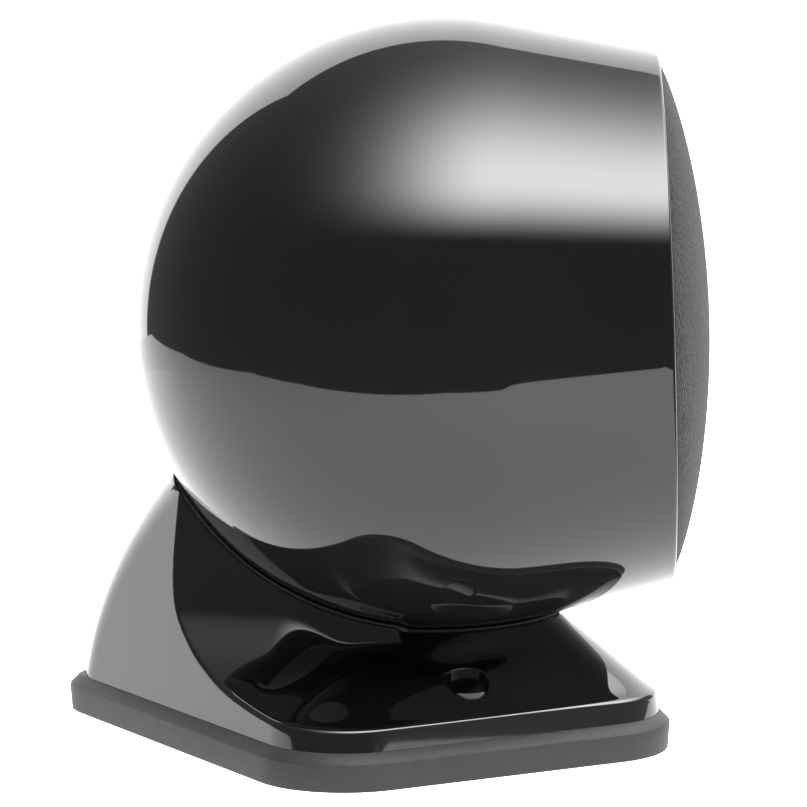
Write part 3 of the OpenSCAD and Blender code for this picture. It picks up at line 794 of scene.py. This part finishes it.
def build_spring(hand, side, mat):
    """A small coil spring above a terminal button."""
    z0, z1, wire, coil, turns, ring = 8.85, 11.55, 0.24, 2.25, 4.5, 10
    x0, y0 = TERM_X, side * TERM_Y
    steps = int(turns * 28)
    verts, faces = [], []
    for k in range(steps + 1):
        t = 2 * math.pi * turns * k / steps
        part = min(1, max(0, (k / steps * turns - 0.8) / (turns - 1.6)))
        centre = Vector((x0 + coil * math.cos(t), y0 + coil * math.sin(t), z0 + (z1 - z0) * part))
        out = Vector((math.cos(t), math.sin(t), 0))
        for i in range(ring):
            u = 2 * math.pi * i / ring
            verts.append(centre + wire * (math.cos(u) * out + Vector((0, 0, math.sin(u)))))
    for k in range(steps):
        for i in range(ring):
            j = (i + 1) % ring
            faces.append((k * ring + i, k * ring + j, (k + 1) * ring + j, (k + 1) * ring + i))
    faces += [tuple(range(ring))[::-1], tuple(steps * ring + i for i in range(ring))]
    piece = make("coil_spring_" + hand, verts, faces, "base", mat,
                 ["terminal_spring_" + hand])
    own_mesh(piece)
    return piece


def build_lining(mat):
    """Felt that lines the cup, up to just below its edge. The ball turns on it."""
    angles = loop_angles(1.5, 2.5)
    lo, hi = np.full_like(angles, 13.0), np.full_like(angles, 62.0)
    for _ in range(30):
        mid = (lo + hi) / 2
        bed = cup_z(mid, 0)
        within = (open_z(angles, mid, 0) > bed) & (mid < wall_r(angles, bed, 0))
        lo, hi = np.where(within, mid, lo), np.where(within, hi, mid)
    steps, start, clear, edge_round = 26, FELT_START_R, 0.04, 0.12
    loop = [(f, 0) for f in np.linspace(0, 1, steps)] + [(1, 0.5)]
    loop += [(f, 1) for f in np.linspace(1, 0, steps)] + [(0, 0.5)]
    verts, faces, n = [], [], len(loop)
    for a, edge in zip(angles, lo - FELT_EDGE_BACK):
        for f, layer in loop:
            r = start + (edge - start) * f
            tilt = math.asin(r / CUP_R)
            ball = CUP_R - clear - FELT_T * layer
            round_off = edge_round if layer != 0.5 and f in (0, 1) else 0
            reach = tilt + (round_off if f == 0 else -round_off) / CUP_R
            verts.append((ball * math.sin(reach) * math.cos(a), ball * math.sin(reach) * math.sin(a),
                          BALL_Z - ball * math.cos(reach)))
    m = len(angles)
    for k in range(m):
        j = (k + 1) % m
        faces += [(k * n + i, k * n + (i + 1) % n, j * n + (i + 1) % n, j * n + i) for i in range(n)]
    return make("felt_lining", verts, faces, "base", mat, ["seat_ring"])


# ---------- Stage ----------

PAPER_GLOW, WALL_GLOW, ROOM_GLOW, BOX_GLOW, KEY_GLOW = 3.1, 2.6, 0.2, 17.0, 2.6
WORLD_GLOW, FLOOR_Z, PAPER_Z = 1.05, -0.3, -0.2

# Corners of the lit paper, to the right of the part and away from the camera. They were fitted
# so that its mirror image on the ball ends near where the photograph's does.
PAPER_OUTLINE = [(-600, 600), (-600, 420), (-580, 200), (-500, 50), (-400, -140), (-265, -220),
                 (-150, -258), (0, -300), (100, -298), (150, -335), (215, -370), (215, -300),
                 (150, -200), (140, 60), (760, 360), (760, 600)]

LIP_FAR, LIP_RISE = 150, 59
WALL_LEFT, WALL_RIGHT, WALL_FAR, WALL_TOP = -510, 560, 600, 780
ROOM_R, KEY_HALF = 3000, 420


def emission(name, strength=None):
    """A plain glow, or one whose strength is the mesh's own "glow" attribute."""
    mat = bpy.data.materials.new(name)
    mat.use_nodes = True
    tree = mat.node_tree
    tree.nodes.clear()
    out = tree.nodes.new("ShaderNodeOutputMaterial")
    glow = tree.nodes.new("ShaderNodeEmission")
    link(tree, glow, "Emission", out, "Surface")
    if strength is None:
        source = tree.nodes.new("ShaderNodeAttribute")
        source.attribute_name = "glow"
        link(tree, source, "Fac", glow, "Strength")
    else:
        glow.inputs["Strength"].default_value = strength
    return mat


def stage_mesh(name, points, faces, mat, glow=None, camera=False, glossy=True, diffuse=True):
    """A piece of the stage, and which kinds of ray see it."""
    mesh = bpy.data.meshes.new(name)
    mesh.from_pydata([Vector(p) * MM for p in points], [], faces)
    mesh.materials.append(mat)
    if glow is not None:
        layer = mesh.attributes.new("glow", "FLOAT", "POINT")
        layer.data.foreach_set("value", [float(g) for g in glow])
    obj = bpy.data.objects.new(name, mesh)
    bpy.context.scene.collection.objects.link(obj)
    obj.visible_camera, obj.visible_glossy, obj.visible_diffuse = camera, glossy, diffuse
    obj.visible_shadow = camera
    return obj


def paper_glow(x, y):
    """The paper is dimmer to the left, and next to the part its glow carries a painted shadow of the part.
    """
    side = 1 + 0.0006 * min(0, x - 100)
    # painted shadow: the glow drops by up to 22% within about 130 mm of the part
    return PAPER_GLOW * max(0.6, side) * (1 - 0.22 * math.exp(-(x * x + y * y) / 130 ** 2))


def room_glow(across, rise):
    """Glow of the room where the ball mirrors it at the given place on its face, in ball radii:
    dim, with one wide soft box overhead that is sharp below and fades above. The numbers were
    fitted to the brightness of the ball in the photograph."""
    def ease(t):
        t = min(1, max(0, t))
        return t * t * (3 - 2 * t)
    wide = math.exp(-(min(0, across - 0.16) / 0.2) ** 2 / 2) * ease((0.75 - across) / 0.3)
    tall = ease((rise - 0.24) / 0.19) * math.exp(-(max(0, rise - 0.44) / 0.153) ** 2 / 2)
    right_side = 1.3 * ease((across - 0.24) / 0.3)
    return ROOM_GLOW * (1 + 0.5 * max(0, rise) + right_side) + BOX_GLOW * wide * tall


def build_stage():
    azimuth, pitch = CAMERA_AZIMUTH, CAMERA_PITCH
    right = Vector((math.cos(azimuth), math.sin(azimuth), 0))
    away = Vector((-math.sin(azimuth), math.cos(azimuth), 0))
    up = Vector((0, 0, 1))

    def at(x, y, z=0.0):
        return x * right + y * away + z * up

    scene = bpy.context.scene
    scene.view_settings.view_transform = "Standard"
    scene.view_settings.look = "None"
    world = bpy.data.worlds.new("studio")
    scene.world = world
    world.use_nodes = True
    world.node_tree.nodes["Background"].inputs["Color"].default_value = (1, 1, 1, 1)
    world.node_tree.nodes["Background"].inputs["Strength"].default_value = WORLD_GLOW
    world.cycles_visibility.glossy = False
    world.cycles_visibility.diffuse = False

    # The pale floor that the camera sees
    mat, tree, shader = node_material("pale_floor")
    shader.inputs["Base Color"].default_value = (0.8, 0.8, 0.8, 1)
    shader.inputs["Roughness"].default_value = 0.9
    shader.inputs["Emission Color"].default_value = (1, 1, 1, 1)
    shader.inputs["Emission Strength"].default_value = 1.0
    far, quad = 6000, [(0, 1, 2, 3)]
    corners = [(-far, -far), (far, -far), (far, far), (-far, far)]
    stage_mesh("pale_floor", [at(x, y, FLOOR_Z) for x, y in corners], quad, mat, camera=True,
               glossy=False, diffuse=False)

    # A lit sheet of paper under and behind the part, which the camera does not see
    lit = emission("lit_paper")
    steps, rings = 6, [0.02, 0.12, 0.2, 0.3, 0.42, 0.6, 0.8, 1]
    edge = []
    for a, b in zip(PAPER_OUTLINE, PAPER_OUTLINE[1:] + PAPER_OUTLINE[:1]):
        edge += [(a[0] + (b[0] - a[0]) * k / steps, a[1] + (b[1] - a[1]) * k / steps) for k in range(steps)]
    places = [(x * f, y * f) for f in rings for x, y in edge]
    n = len(edge)
    faces = [(k * n + i, (k + 1) * n + i, (k + 1) * n + (i + 1) % n, k * n + (i + 1) % n)
             for k in range(len(rings) - 1) for i in range(n)]
    stage_mesh("paper_floor", [at(x, y, PAPER_Z) for x, y in places], faces, lit,
               glow=[paper_glow(x, y) for x, y in places])
    # Its raised edge to the left behind the part
    bend = [math.radians(a) for a in range(36, 84, 4)]
    places = [(-LIP_FAR * math.sin(a), LIP_FAR * math.cos(a)) for a in bend]
    m = len(bend)
    stage_mesh("paper_lip", [at(x, y, z) for z in (0, LIP_RISE) for x, y in places],
               [(i, i + 1, m + i + 1, m + i) for i in range(m - 1)], lit,
               glow=[paper_glow(x, y) for x, y in places] * 2)
    corners = [(WALL_LEFT, PAPER_Z), (WALL_RIGHT, PAPER_Z), (WALL_RIGHT, WALL_TOP),
               (WALL_LEFT, WALL_TOP)]
    stage_mesh("paper_wall", [at(x, WALL_FAR, z) for x, z in corners], quad,
               emission("lit_wall", WALL_GLOW))

    # The room round it all, on a wide dome about the ball, laid out as the ball mirrors it to the
    # camera. Only mirror rays see it.
    forward = away * math.cos(pitch) - up * math.sin(pitch)
    over = right.cross(forward)
    spokes, rows = 96, 120
    points, glow = [], []
    for j in range(rows):
        half = math.pi / 2 * max(j, 0.02) / rows
        for i in range(spokes):
            turn = 2 * math.pi * i / spokes
            across, rise = math.sin(half) * math.cos(turn), math.sin(half) * math.sin(turn)
            normal = across * right + rise * over - math.cos(half) * forward
            points.append(at(0, 0, BALL_Z) + ROOM_R * (2 * math.cos(half) * normal + forward))
            glow.append(room_glow(across, rise))
    faces = [(j * spokes + i, j * spokes + (i + 1) % spokes, (j + 1) * spokes + (i + 1) % spokes,
              (j + 1) * spokes + i) for j in range(rows - 1) for i in range(spokes)]
    stage_mesh("lit_room", points, faces, emission("lit_room"), glow=glow, diffuse=False)

    # Soft light from above for the matt surfaces, which mirror rays do not see
    centre = at(150, -200, 800)
    stage_mesh("key_light", [centre + right * x * KEY_HALF + away * y * KEY_HALF
                             for x, y in ((-1, -1), (1, -1), (1, 1), (-1, 1))],
               quad, emission("key_light", KEY_GLOW), glossy=False)


# ---------- Build ----------

place_camera()
build_stage()

looks = palette()
for part in frame["record"]["subparts"]:
    carried = frame["nodes"][part["node"]]
    carried.data.materials.clear()
    carried.data.materials.append(looks[part["material_slot"]])

build_cover(looks["gloss_black"])
build_foot(looks["foot_rubber"])
build_ball(looks["gloss_black"])
build_grille(looks["grille_mesh"])
build_wadding(looks["wadding"])
build_lining(looks["felt"])
build_screws(looks["zinc_steel"])
for hand, turn_side in (("left", 1), ("right", -1)):
    build_spring(hand, turn_side, looks["spring_steel"])
